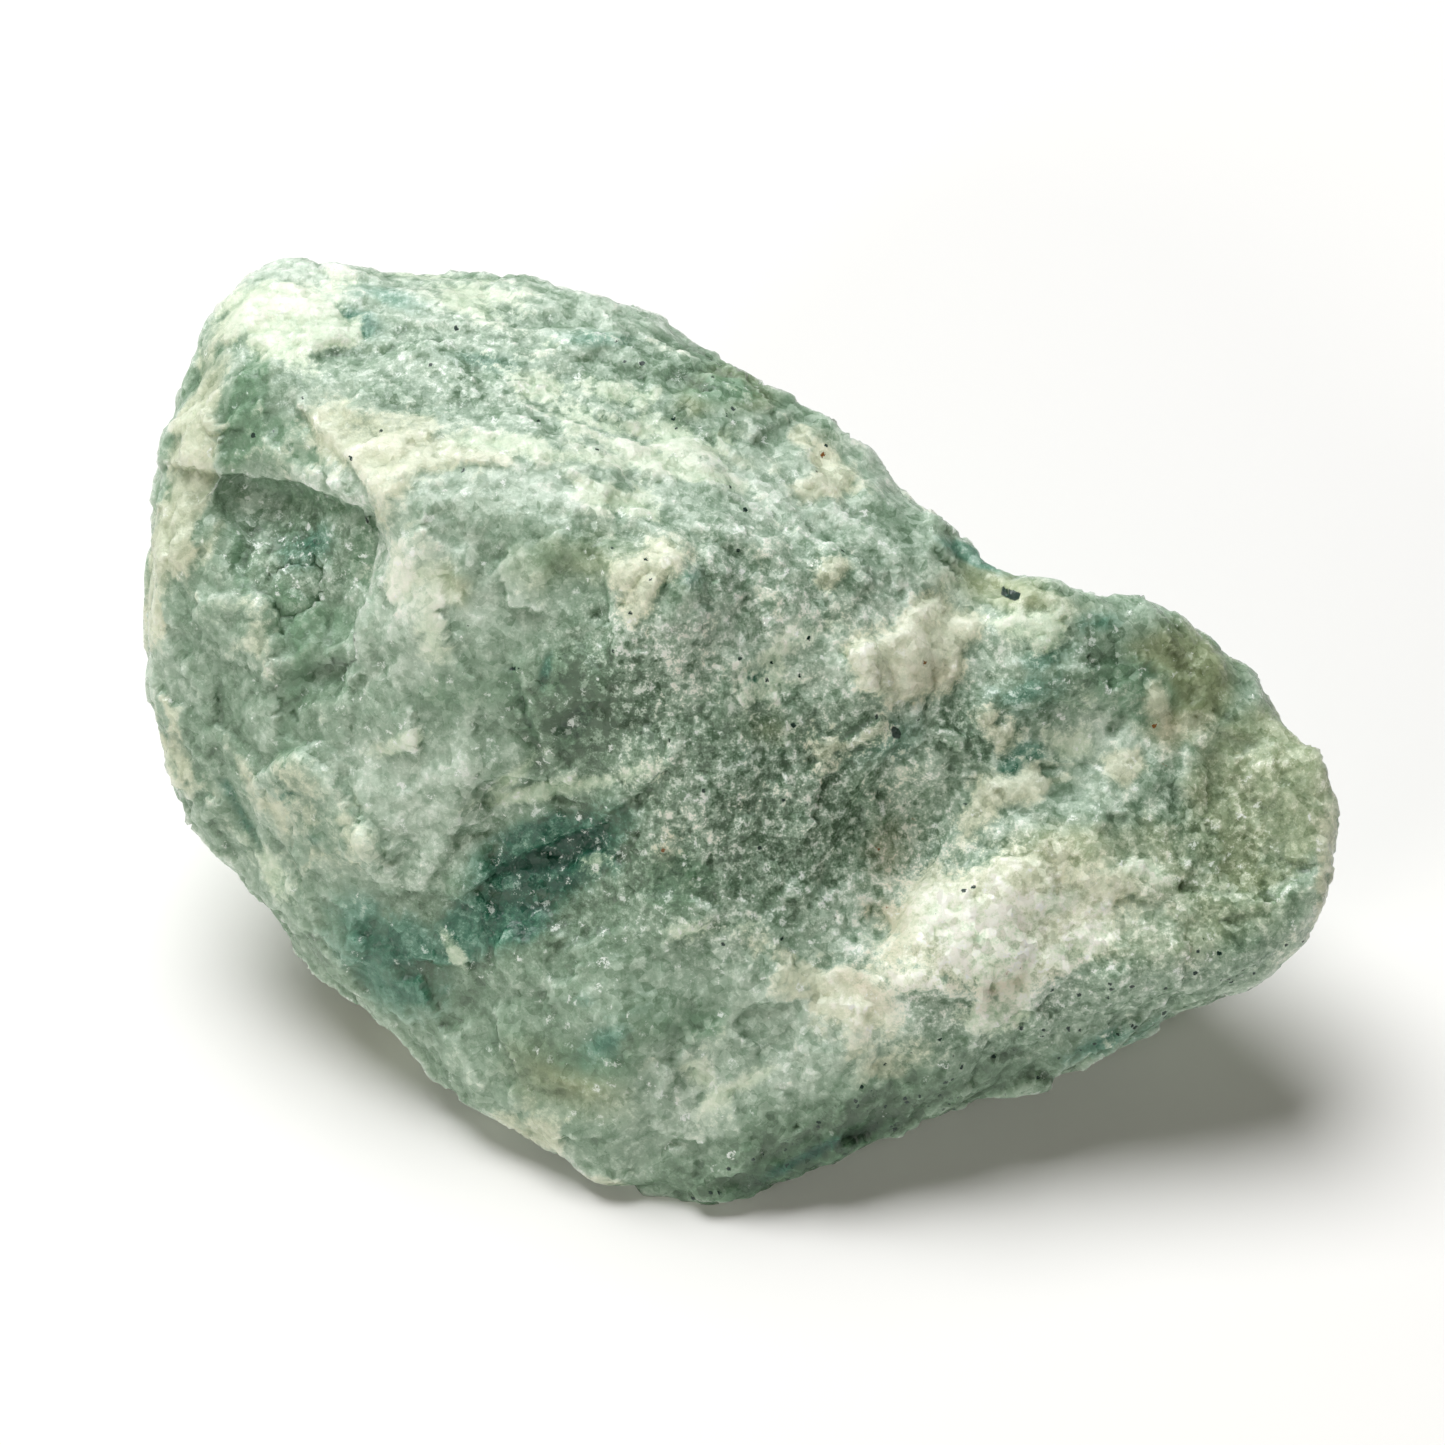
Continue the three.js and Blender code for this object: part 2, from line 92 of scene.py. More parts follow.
# Marks on the stone, by tone. Each lies where it does in the photograph: an oval has its middle
# "at" a pixel, "half" its length and width in pixels, and "turn", how many degrees its length
# is turned up from level; a flake has its "outline" in pixels. "amount" says how strong the
# mark is, and "rise" how many mm its flake stands proud of the break, or lies sunk in it.
MARKS = {
    "pale": [
        {"at": (330, 300), "half": (120, 46), "turn": -4, "amount": 0.9},
        {"at": (560, 310), "half": (110, 30), "turn": -8, "amount": 0.5},
        {"at": (470, 480), "half": (150, 46), "turn": -10, "amount": 0.8},
        {"at": (640, 450), "half": (130, 50), "turn": -16, "amount": 0.7},
        {"at": (780, 480), "half": (90, 40), "turn": -22, "amount": 1.0},
        {"at": (445, 590), "half": (80, 70), "turn": 10, "amount": 0.85},
        {"at": (645, 580), "half": (44, 56), "turn": 20, "amount": 0.7},
        {"at": (918, 650), "half": (80, 56), "turn": 10, "amount": 1.5},
        {"at": (420, 800), "half": (60, 66), "turn": -30, "amount": 0.7},
        {"at": (1000, 940), "half": (130, 90), "turn": 12, "amount": 1.3},
        {"at": (850, 1010), "half": (110, 80), "turn": -10, "amount": 1.0},
        {"at": (640, 1140), "half": (110, 60), "turn": -8, "amount": 0.1},
        {"at": (1080, 770), "half": (120, 30), "turn": 12, "amount": 0.6},
        {"at": (256, 640), "half": (20, 50), "turn": 8, "amount": 0.15},
        {"at": (310, 820), "half": (100, 50), "turn": -48, "amount": 0.2},
        {"at": (1300, 880), "half": (40, 80), "turn": 0, "amount": 0.2},
        {"at": (760, 640), "half": (80, 36), "turn": 25, "amount": 0.45},
    ],
    "deep": [
        {"at": (310, 620), "half": (60, 110), "turn": 8, "amount": 0.8},
        {"at": (200, 690), "half": (40, 130), "turn": 10, "amount": 0.3},
        {"at": (350, 690), "half": (80, 50), "turn": 0, "amount": 0.5},
        {"at": (682, 880), "half": (36, 30), "turn": 0, "amount": 1.0},
        {"at": (720, 388), "half": (56, 26), "turn": 0, "amount": 1.6},
        {"at": (574, 722), "half": (34, 24), "turn": 20, "amount": 2.3},
        {"at": (540, 560), "half": (80, 40), "turn": 0, "amount": 0.5},
        {"at": (540, 870), "half": (120, 70), "turn": 25, "amount": 1.3},
        {"at": (400, 970), "half": (130, 60), "turn": -40, "amount": 0.7},
        {"at": (690, 800), "half": (120, 90), "turn": 0, "amount": 0.35},
        {"at": (850, 830), "half": (110, 80), "turn": 30, "amount": 0.3},
        {"at": (1000, 700), "half": (140, 60), "turn": 15, "amount": 0.5},
        {"at": (1170, 680), "half": (70, 60), "turn": -30, "amount": 0.7},
        {"at": (900, 560), "half": (110, 40), "turn": -24, "amount": 0.4},
        {"at": (1180, 860), "half": (110, 70), "turn": 0, "amount": 0.4},
        {"at": (720, 1020), "half": (110, 40), "turn": 5, "amount": 0.4},
        # Darker along the under strip's lower edge: partly dark green stone, partly painted shade
        # where the strip turns under, away from the light.
        {"at": (820, 1155), "half": (120, 22), "turn": 27, "amount": 3.0},
        {"at": (240, 440), "half": (24, 80), "turn": -12, "amount": 0.5},
        {"at": (430, 385), "half": (130, 26), "turn": -12, "amount": 0.4},
    ],
    "milk": [
        {"at": (990, 945), "half": (60, 30), "turn": 10, "amount": 0.5},
        {"at": (285, 325), "half": (60, 32), "turn": -12, "rise": 0.3},
        {"at": (315, 318), "half": (44, 12), "turn": -28, "amount": 1.4, "rise": 0.2},
        {"at": (478, 303), "half": (45, 16), "turn": -16, "amount": 0.9},
        {"at": (420, 275), "half": (60, 8), "turn": -6, "amount": 0.7},
        {"outline": ((512, 384), (536, 374), (560, 388), (550, 402), (520, 398)), "rise": 0.25},
        {
            "outline": ((566, 384), (588, 372), (616, 383), (647, 398), (641, 408), (602, 400)),
            "rise": 0.25,
        },
        {"outline": ((648, 392), (660, 384), (664, 390), (655, 402)), "rise": 0.15},
        {"at": (500, 442), "half": (52, 10), "turn": -5, "amount": 0.9, "rise": 0.1},
        {"at": (640, 432), "half": (80, 14), "turn": -14, "amount": 0.8},
        {
            "outline": ((566, 468), (596, 480), (640, 494), (668, 520), (630, 516), (585, 502)),
            "rise": 0.2,
        },
        {"at": (690, 470), "half": (60, 9), "turn": -16, "amount": 0.8},
        {"at": (560, 455), "half": (70, 8), "turn": -8, "amount": 0.8},
        {"at": (745, 462), "half": (34, 9), "turn": -20, "amount": 0.7},
        {"at": (716, 440), "half": (26, 12), "turn": 20, "amount": 0.7},
        {"at": (408, 740), "half": (26, 9), "turn": 20, "amount": 1.0, "rise": 0.2},
        {
            "outline": (
                (959, 960), (961, 943), (1001, 929), (1032, 954), (1023, 976), (987, 984)
            ),
            "amount": 1.5,
            "rise": 0.2,
        },
        {"outline": ((936, 909), (973, 904), (992, 929), (960, 943), (930, 937))},
        {"outline": ((945, 1013), (1020, 996), (1029, 1018), (992, 1030), (964, 1027))},
        {"outline": ((1048, 948), (1104, 920), (1116, 932), (1076, 976)), "amount": 0.8},
        {
            "outline": ((991, 621), (1060, 613), (1065, 631), (1049, 652), (1005, 645)),
            "rise": 0.25,
        },
        {"outline": ((1127, 864), (1149, 857), (1175, 884), (1158, 892)), "rise": 0.3},
        {
            "outline": ((566, 874), (578, 856), (608, 842), (618, 852), (600, 876), (580, 886)),
            "rise": 0.2,
            "amount": 0.6,
        },
        {"outline": ((1042, 730), (1085, 730), (1088, 751), (1062, 762)), "amount": 0.8},
        {"at": (800, 640), "half": (45, 14), "turn": 30, "amount": 0.7},
        {"at": (770, 690), "half": (44, 16), "turn": 18, "amount": 0.7, "rise": 0.15},
        {"at": (555, 788), "half": (66, 7), "turn": 12, "amount": 1.0, "rise": 0.12},
        {"at": (520, 770), "half": (40, 6), "turn": 40, "amount": 0.8},
        {"at": (456, 955), "half": (7, 34), "turn": 28, "amount": 0.7, "rise": 0.15},
        {"at": (700, 930), "half": (44, 12), "turn": 6, "amount": 0.7},
        {"at": (436, 592), "half": (26, 20), "turn": 30, "amount": 0.6},
        {"at": (440, 640), "half": (22, 30), "turn": 0, "amount": 0.7},
        {"at": (1085, 695), "half": (22, 12), "turn": 35, "amount": 0.7},
        {"at": (1062, 900), "half": (24, 9), "turn": 20, "amount": 0.9, "rise": 0.2},
        {"at": (1104, 908), "half": (10, 7), "turn": 0, "amount": 1.0, "rise": 0.2},
        {"at": (740, 1085), "half": (34, 7), "turn": 28, "amount": 0.7},
        {"at": (695, 1075), "half": (14, 10), "turn": 0, "amount": 0.8},
        {"at": (260, 860), "half": (14, 46), "turn": 34, "amount": 0.7},
    ],
    "cream": [
        {"at": (186, 480), "half": (120, 17), "turn": 76, "amount": 1.4, "rise": 0.15},
        {"at": (208, 545), "half": (50, 12), "turn": 62, "amount": 0.9},
        {
            "outline": (
                (306, 417), (326, 402), (376, 403), (433, 423), (463, 442), (516, 455),
                (503, 466), (452, 468), (418, 472), (393, 498), (402, 521), (376, 526),
                (376, 498), (360, 482), (334, 453), (323, 448),
            ),
            "rise": 0.35,
            "amount": 0.8,
        },
        {"at": (352, 422), "half": (30, 14), "turn": -20, "amount": 1.0},
        {"outline": ((784, 432), (798, 422), (812, 432), (807, 448), (790, 443)), "rise": 0.2},
        {"at": (832, 462), "half": (40, 12), "turn": -44, "amount": 1.0},
        {"outline": ((793, 482), (855, 460), (866, 478), (841, 493), (804, 502)), "rise": 0.2},
        {
            "outline": (
                (850, 653), (883, 632), (901, 627), (914, 607), (939, 592), (948, 616),
                (983, 621), (978, 638), (960, 653), (957, 674), (949, 693), (924, 693),
                (893, 701), (875, 699), (863, 688), (865, 674),
            ),
            "rise": 0.6,
            "amount": 1.3,
        },
        {
            "outline": (
                (615, 562), (633, 558), (661, 539), (680, 556), (671, 573), (646, 612),
                (636, 622), (626, 614), (624, 589), (612, 581),
            ),
            "rise": 0.55,
            "amount": 1.2,
        },
        {"outline": ((817, 556), (840, 555), (848, 568), (832, 587), (820, 582)), "rise": 0.35},
        {
            "outline": (
                (796, 734), (845, 736), (881, 719), (883, 730), (840, 757), (832, 775),
                (822, 776), (808, 758),
            ),
            "rise": 0.45,
        },
        {
            "outline": ((971, 716), (993, 708), (1020, 734), (1005, 749), (985, 742)),
            "rise": 0.3,
        },
        {
            "outline": (
                (982, 780), (1010, 783), (1033, 770), (1070, 770), (1078, 782), (1044, 795),
                (1010, 803), (987, 822), (968, 838), (958, 822),
            ),
            "rise": 0.25,
        },
        {"outline": ((896, 922), (916, 886), (932, 868), (945, 880), (935, 910), (915, 930))},
        {"outline": ((1106, 760), (1138, 752), (1145, 767), (1124, 782)), "rise": 0.2},
        {"at": (1158, 702), "half": (12, 26), "turn": 10, "amount": 0.9, "rise": 0.2},
        {"at": (1195, 722), "half": (24, 9), "turn": 16, "amount": 0.8},
        {
            "outline": (
                (215, 726), (245, 738), (270, 766), (282, 753), (301, 749), (334, 775),
                (359, 809), (384, 856), (353, 861), (304, 876), (285, 851), (255, 815),
                (227, 775),
            ),
            "rise": 0.45,
            "amount": 0.5,
        },
        {
            "outline": (
                (245, 583), (261, 599), (276, 625), (281, 646), (278, 667), (270, 694),
                (253, 678), (242, 639),
            ),
            "rise": 0.35,
            "amount": 0.3,
        },
        {
            "outline": (
                (149, 700), (148, 750), (178, 787), (224, 830), (238, 838), (221, 796),
                (193, 757), (175, 726), (166, 700),
            ),
            "amount": 0.7,
        },
        {
            "outline": (
                (757, 945), (833, 966), (871, 1001), (886, 1024), (833, 1024), (783, 989)
            ),
            "amount": 0.8,
        },
        {"at": (830, 985), "half": (60, 7), "turn": -36, "amount": 1.0},
        {"at": (664, 852), "half": (18, 14), "turn": 0, "amount": 0.8},
        {
            "outline": (
                (503, 1121), (527, 1109), (573, 1115), (564, 1139), (549, 1156), (520, 1145)
            ),
            "rise": 0.2,
            "amount": 0.7,
        },
        {"at": (900, 1060), "half": (50, 30), "turn": 20, "amount": 0.6},
        {"at": (1010, 920), "half": (130, 64), "turn": 12, "amount": 0.8},
        {"at": (1328, 870), "half": (14, 60), "turn": 0, "amount": 0.6},
        {"at": (620, 1192), "half": (30, 8), "turn": -20, "amount": 0.8},
    ],
    "teal": [
        {"at": (545, 860), "half": (90, 44), "turn": 26, "amount": 1.0, "rise": -0.25},
        {
            "outline": (
                (521, 858), (535, 844), (554, 848), (566, 856), (556, 866), (537, 878),
                (523, 871),
            ),
            "amount": 2.2,
            "rise": -0.4,
        },
        {"at": (500, 915), "half": (80, 40), "turn": 25, "amount": 0.9},
        {"at": (400, 960), "half": (90, 50), "turn": -38, "amount": 0.7},
        {
            "outline": ((215, 778), (236, 827), (261, 864), (270, 861), (254, 824), (228, 778)),
            "rise": -0.4,
            "amount": 0.8,
        },
        {"at": (357, 326), "half": (28, 14), "turn": -12, "amount": 1.1},
        {"at": (395, 300), "half": (34, 10), "turn": -15, "amount": 0.8},
        {"at": (590, 338), "half": (44, 10), "turn": -6, "amount": 0.6},
        {"at": (480, 360), "half": (60, 10), "turn": -8, "amount": 0.5},
        {"at": (310, 545), "half": (32, 24), "turn": 0, "amount": 0.8},
        {"at": (1040, 660), "half": (36, 20), "turn": 20, "amount": 0.7},
        {"at": (1030, 690), "half": (46, 26), "turn": 10, "amount": 0.7},
        {
            "outline": (
                (1021, 740), (1044, 744), (1046, 758), (1021, 775), (998, 779), (1003, 762)
            ),
            "amount": 0.9,
            "rise": -0.15,
        },
        {"at": (800, 1160), "half": (90, 7), "turn": 27, "amount": 0.9},
        {"at": (1100, 1044), "half": (60, 12), "turn": 18, "amount": 0.75},
        {"at": (975, 556), "half": (30, 7), "turn": -24, "amount": 1.2},
        {"at": (1100, 625), "half": (24, 12), "turn": 0, "amount": 0.7},
        {"at": (762, 680), "half": (12, 9), "turn": 0, "amount": 1.2, "rise": -0.15},
        {"at": (690, 578), "half": (16, 14), "turn": 0, "amount": 0.6},
        {"at": (610, 1040), "half": (34, 16), "turn": 30, "amount": 0.7},
        {"at": (640, 1010), "half": (40, 14), "turn": 10, "amount": 0.6},
        {"at": (740, 760), "half": (50, 20), "turn": 20, "amount": 0.4},
        {"at": (880, 740), "half": (70, 30), "turn": 20, "amount": 0.5},
        {"at": (545, 672), "half": (6, 20), "turn": -14, "amount": 1.0, "rise": -0.2},
        {"at": (580, 1000), "half": (30, 10), "turn": 0, "amount": 0.5},
        {"at": (290, 797), "half": (7, 5), "turn": 30, "amount": 1.8},
        {"at": (316, 838), "half": (16, 8), "turn": 0, "amount": 0.7},
    ],
    "olive": [
        {
            "outline": (
                (676, 405), (690, 378), (728, 362), (756, 376), (775, 400), (751, 408),
                (717, 398), (695, 417),
            ),
            "amount": 0.8,
        },
        {"at": (590, 560), "half": (80, 26), "turn": 4, "amount": 0.6},
        {
            "outline": ((424, 574), (449, 566), (473, 584), (463, 606), (440, 600)),
            "amount": 0.9,
        },
        {"at": (1180, 680), "half": (60, 60), "turn": -30, "amount": 0.8},
        {"at": (1260, 800), "half": (80, 110), "turn": -20, "amount": 0.6},
        {"at": (1160, 890), "half": (150, 80), "turn": 10, "amount": 0.5},
        {"at": (1005, 590), "half": (60, 16), "turn": -14, "amount": 0.9},
        {"at": (1060, 860), "half": (70, 34), "turn": 10, "amount": 0.8},
        {"at": (1035, 962), "half": (12, 12), "turn": 0, "amount": 1.0},
        {"at": (560, 1080), "half": (60, 30), "turn": -20, "amount": 0.7},
        {"at": (770, 730), "half": (40, 16), "turn": -10, "amount": 0.5},
    ],
    "moss": [
        {
            "outline": (
                (240, 482), (303, 490), (348, 510), (375, 526), (369, 583), (342, 583),
                (346, 522), (276, 506),
            ),
            "amount": 0.9,
        },
        {"at": (245, 410), "half": (20, 70), "turn": -14, "amount": 0.8},
        {"at": (290, 440), "half": (50, 34), "turn": -10, "amount": 0.7},
        {"at": (720, 388), "half": (46, 18), "turn": -4, "amount": 0.8},
        {"at": (560, 560), "half": (90, 22), "turn": 4, "amount": 0.5},
        {"at": (523, 708), "half": (46, 5), "turn": -72, "amount": 1.2, "rise": -0.25},
        {"at": (800, 1165), "half": (100, 18), "turn": 26, "amount": 1.3},
        {
            "outline": (
                (275, 560), (300, 585), (345, 594), (356, 625), (320, 655), (300, 720),
                (296, 762), (266, 751), (279, 695), (282, 644), (268, 600),
            ),
            "rise": -0.15,
            "amount": 0.7,
        },
        {"at": (460, 690), "half": (70, 34), "turn": 8, "amount": 0.6},
        {"at": (560, 680), "half": (40, 22), "turn": 30, "amount": 0.7},
        {
            "outline": (
                (651, 872), (684, 852), (705, 868), (711, 878), (702, 890), (679, 906),
                (662, 900),
            ),
            "amount": 1.6,
        },
        {
            "outline": ((553, 731), (584, 704), (592, 718), (581, 738), (559, 748)),
            "amount": 1.5,
        },
        {"at": (680, 590), "half": (26, 18), "turn": 0, "amount": 0.8},
        {"at": (850, 800), "half": (50, 30), "turn": 40, "amount": 0.5},
        {"at": (700, 1020), "half": (90, 20), "turn": 8, "amount": 0.7},
        {"at": (1130, 690), "half": (50, 34), "turn": -20, "amount": 0.9},
        {"at": (240, 560), "half": (12, 50), "turn": 8, "amount": 0.7},
        {"at": (460, 880), "half": (60, 20), "turn": 40, "amount": 0.6},
        {"at": (590, 1060), "half": (70, 22), "turn": -6, "amount": 0.7},
    ],
    # Where glints are painted into the colour as near-white highlights; the grains there are also
    # glossier and tilt more steeply.
    "silver": [
        {"at": (303, 550), "half": (34, 24), "turn": -20, "amount": 1.2},
        {"at": (324, 584), "half": (22, 12), "turn": 0, "amount": 0.8},
        {"at": (244, 506), "half": (14, 20), "turn": 0, "amount": 0.7},
        {"at": (298, 458), "half": (22, 14), "turn": 40, "amount": 0.7},
        {"at": (395, 738), "half": (24, 12), "turn": 20, "amount": 0.9},
        {"at": (380, 622), "half": (22, 14), "turn": 0, "amount": 0.6},
        {"at": (434, 640), "half": (14, 24), "turn": 0, "amount": 0.7},
        {"at": (320, 728), "half": (26, 14), "turn": 20, "amount": 0.7},
        {"at": (484, 800), "half": (16, 34), "turn": 0, "amount": 0.9},
        {"at": (500, 740), "half": (50, 14), "turn": 30, "amount": 0.6},
        {"at": (560, 786), "half": (60, 12), "turn": 12, "amount": 1.0},
        {"at": (792, 706), "half": (44, 18), "turn": 14, "amount": 0.9},
        {"at": (740, 556), "half": (50, 20), "turn": 10, "amount": 0.5},
        {"at": (592, 850), "half": (44, 14), "turn": 25, "amount": 0.9},
        {"at": (560, 890), "half": (70, 26), "turn": 22, "amount": 0.6},
        {"at": (716, 908), "half": (36, 14), "turn": 24, "amount": 1.3},
        {"at": (730, 942), "half": (52, 14), "turn": 10, "amount": 1.0},
        {"at": (606, 996), "half": (48, 36), "turn": 20, "amount": 0.5},
        {"at": (625, 1082), "half": (14, 10), "turn": 0, "amount": 0.7},
        {"at": (700, 1070), "half": (22, 22), "turn": 0, "amount": 0.6},
        {"at": (780, 1055), "half": (34, 12), "turn": 26, "amount": 0.6},
        {"at": (1000, 945), "half": (60, 40), "turn": 10, "amount": 1.1},
        {"at": (1085, 690), "half": (40, 16), "turn": 30, "amount": 0.6},
        {"at": (1200, 860), "half": (80, 40), "turn": 0, "amount": 0.35},
        {"at": (460, 400), "half": (120, 50), "turn": -10, "amount": 0.35},
        {"at": (700, 800), "half": (120, 80), "turn": 0, "amount": 0.3},
        {"at": (1150, 980), "half": (80, 30), "turn": 20, "amount": 0.35},
    ],
    "sugar": [
        {"at": (780, 800), "half": (160, 110), "turn": 15, "amount": 1.0},
        {"at": (900, 850), "half": (60, 70), "turn": 0, "amount": 0.9},
        {"at": (650, 690), "half": (80, 80), "turn": 0, "amount": 1.0},
        {"at": (760, 590), "half": (90, 40), "turn": -10, "amount": 0.8},
        {"at": (1220, 850), "half": (110, 110), "turn": 0, "amount": 0.45},
        {"at": (960, 720), "half": (80, 40), "turn": 25, "amount": 0.9},
        {"at": (470, 370), "half": (110, 40), "turn": -8, "amount": 0.5},
        {"at": (1130, 960), "half": (90, 40), "turn": 10, "amount": 0.7},
        {"at": (970, 880), "half": (50, 36), "turn": 30, "amount": 1.0},
        {"at": (990, 950), "half": (100, 60), "turn": 10, "amount": 1.2},
        {"at": (540, 880), "half": (80, 40), "turn": 20, "amount": 0.6},
        {"at": (310, 550), "half": (32, 26), "turn": 0, "amount": 0.8},
    ],
    "rust": [
        {"at": (884, 852), "half": (24, 32), "turn": -20, "amount": 0.75},
        {"at": (885, 912), "half": (14, 26), "turn": 10, "amount": 0.8},
        {"at": (826, 442), "half": (14, 8), "turn": -30, "amount": 0.8},
        {"at": (936, 680), "half": (20, 10), "turn": 10, "amount": 0.8},
        {"at": (1168, 730), "half": (10, 22), "turn": 0, "amount": 0.8},
        {"at": (990, 990), "half": (20, 8), "turn": 20, "amount": 0.7},
        {"at": (862, 985), "half": (20, 6), "turn": -36, "amount": 0.8},
        {"at": (200, 540), "half": (44, 8), "turn": 66, "amount": 0.7},
        {"at": (664, 856), "half": (14, 10), "turn": 0, "amount": 0.8},
    ],
    "specks": [
        {"at": (1110, 1012), "half": (62, 16), "turn": 24, "amount": 1.1},
        {"at": (1010, 1046), "half": (60, 10), "turn": 22, "amount": 1.0},
        {"at": (850, 1130), "half": (90, 14), "turn": 26, "amount": 1.3},
        {"at": (760, 1182), "half": (50, 14), "turn": 34, "amount": 1.2},
        {"at": (700, 600), "half": (150, 100), "turn": 0, "amount": 0.06},
        {"at": (720, 390), "half": (60, 30), "turn": -30, "amount": 0.2},
        {"at": (840, 800), "half": (170, 130), "turn": 0, "amount": 0.05},
        {"at": (500, 420), "half": (180, 80), "turn": 0, "amount": 0.03},
    ],
    "ink": [
        {"outline": ((1002, 588), (1021, 595), (1016, 599), (1003, 594)), "amount": 1.5},
        {"at": (513, 668), "half": (6, 2), "turn": -10, "amount": 1.2},
        {"at": (544, 640), "half": (2, 3), "turn": 0, "amount": 1.2},
        {"at": (896, 733), "half": (4, 6), "turn": 30, "amount": 1.2},
    ],
}

# Tones that fade into their surroundings, where the others end in an edge
BROAD_TONES = ("pale", "deep", "silver", "sugar", "specks", "rust")

# Ledges, where one break steps down to the next: the pixels along each, how many mm it steps
# down on its left side, going along it, and how many pixels out the step fades away.
LEDGES = [
    {
        "line": ((362, 606), (368, 583), (375, 524), (346, 507), (300, 487), (236, 476)),
        "drop": 0.7,
        "reach": 120,
    },
    {"line": ((375, 524), (352, 470), (306, 416)), "drop": 0.4, "reach": 45},
    {
        "line": ((491, 876), (523, 855), (559, 836), (598, 824), (649, 783)),
        "drop": -0.5,
        "reach": 60,
    },
    {
        "line": ((440, 864), (460, 830), (474, 784), (500, 770), (560, 790)),
        "drop": -0.35,
        "reach": 45,
    },
    {
        "line": ((386, 856), (334, 775), (301, 749), (282, 753), (270, 766)),
        "drop": -0.4,
        "reach": 40,
    },
    {
        "line": ((896, 922), (929, 869), (962, 818), (984, 780), (1070, 770)),
        "drop": 0.3,
        "reach": 60,
    },
    {"line": ((545, 755), (525, 715), (512, 668)), "drop": 0.25, "reach": 25},
]

# Broad forms of the skin: an oval in pixels that stands rise mm proud in its middle, and fades
# away to its edge.
SWELLS = [
    {"at": (300, 588), "half": (84, 100), "turn": 0, "rise": 1.6},
    {"at": (330, 672), "half": (80, 34), "turn": 16, "rise": -0.8},
]

# The sides that the photograph doesn't show carry marks of the same tones, scattered by
# chance: how many of each, from how small to how large in mm, and how far they stand proud.
HIDDEN_MARKS = {
    "pale": {"count": 16, "sizes": (3.0, 7.0), "rise": 0},
    "deep": {"count": 14, "sizes": (3.0, 7.0), "rise": 0},
    "milk": {"count": 30, "sizes": (0.8, 3.5), "rise": 0.2},
    "cream": {"count": 20, "sizes": (0.8, 3.0), "rise": 0.3},
    "teal": {"count": 18, "sizes": (1.0, 5.0), "rise": -0.2},
    "olive": {"count": 16, "sizes": (1.0, 4.5), "rise": 0},
    "moss": {"count": 14, "sizes": (1.5, 5.0), "rise": 0},
    "silver": {"count": 26, "sizes": (0.8, 4.0), "rise": 0},
    "sugar": {"count": 10, "sizes": (4.0, 9.0), "rise": 0},
    "rust": {"count": 8, "sizes": (0.6, 2.0), "rise": 0},
    "specks": {"count": 7, "sizes": (2.0, 7.0), "rise": 0},
    "ink": {"count": 3, "sizes": (0.3, 0.5), "rise": 0},
}
HIDDEN_SEED = 12


def linear(hex_colour):
    """An sRGB hex colour as the linear red, green, blue and alpha that a socket takes."""
    channels = [(hex_colour >> shift & 255) / 255 for shift in (16, 8, 0)]
    return [c / 12.92 if c < 0.04045 else ((c + 0.055) / 1.055) ** 2.4 for c in channels] + [1]


def add(tree, kind, inputs=(), **settings):
    """Adds a node with its settings. Its inputs, in order or by name, are set or linked: a node
    given for an input stands for its first output."""
    node = tree.nodes.new(kind)
    for name, value in settings.items():
        if name == "stops":
            set_stops(node.color_ramp.elements, value)
        else:
            setattr(node, name, value)
    usable = [socket for socket in node.inputs if socket.enabled]
    for key, value in inputs.items() if isinstance(inputs, dict) else enumerate(inputs):
        target = usable[key] if isinstance(key, int) else next(s for s in usable if s.name == key)
        if isinstance(value, bpy.types.Node):
            value = next(socket for socket in value.outputs if socket.enabled)
        if isinstance(value, bpy.types.NodeSocket):
            tree.links.new(value, target)
        else:
            target.default_value = value
    return node


def set_stops(elements, stops):
    """Colours along a ramp, each a place from 0 to 1 and an sRGB hex value."""
    while len(elements) < len(stops):
        elements.new(0.5)
    for element, (place, hex_colour) in zip(elements, stops):
        element.position = place
        element.color = linear(hex_colour)


def press_sheets(tree, in_mm, thin):
    """Places in mm, drawn out through the sheets, so that a pattern is 1 + thin times thinner
    that way."""
    through = add(tree, "ShaderNodeVectorMath", [in_mm, SHEETS], operation="DOT_PRODUCT")
    thinner = add(tree, "ShaderNodeMath", [through, thin], operation="MULTIPLY")
    pressed = add(
        tree, "ShaderNodeVectorMath", {"Vector": SHEETS, "Scale": thinner}, operation="SCALE"
    )
    return add(tree, "ShaderNodeVectorMath", [in_mm, pressed], operation="ADD")


def select_only(piece):
    bpy.ops.object.select_all(action="DESELECT")
    piece.select_set(True)
    bpy.context.view_layer.objects.active = piece


def apply_modifier(piece, kind, **settings):
    select_only(piece)
    modifier = piece.modifiers.new(kind.title(), kind)
    for name, value in settings.items():
        setattr(modifier, name, value)
    bpy.ops.object.modifier_apply(modifier=modifier.name)


def read_corners(piece, what):
    """The places or normals of a mesh's corners."""
    flat = np.empty(len(piece.data.vertices) * 3)
    piece.data.vertices.foreach_get(what, flat)
    return flat.reshape(-1, 3)


def put_corners(piece, corners):
    piece.data.vertices.foreach_set("co", corners.ravel())
    piece.data.update()


def chance(cube, seed):
    """A number from 0 to 1 for each whole-numbered corner of space, the same every time."""
    mixed = np.sin(cube @ np.array([127.1, 311.7, 74.7]) + seed * 53.3) * 43758.5453
    return mixed - np.floor(mixed)


def lumps(points, across, seed):
    """Smooth noise of -1 to 1 at points in mm, with lumps about across wide."""
    place = points / across
    cube = np.floor(place)
    part = place - cube
    part = part * part * (3 - 2 * part)
    total = np.zeros(len(points))
    for corner in np.ndindex(2, 2, 2):
        share = np.prod(np.where(corner, part, 1 - part), axis=1)
        total += share * chance(cube + corner, seed)
    return 2 * total - 1


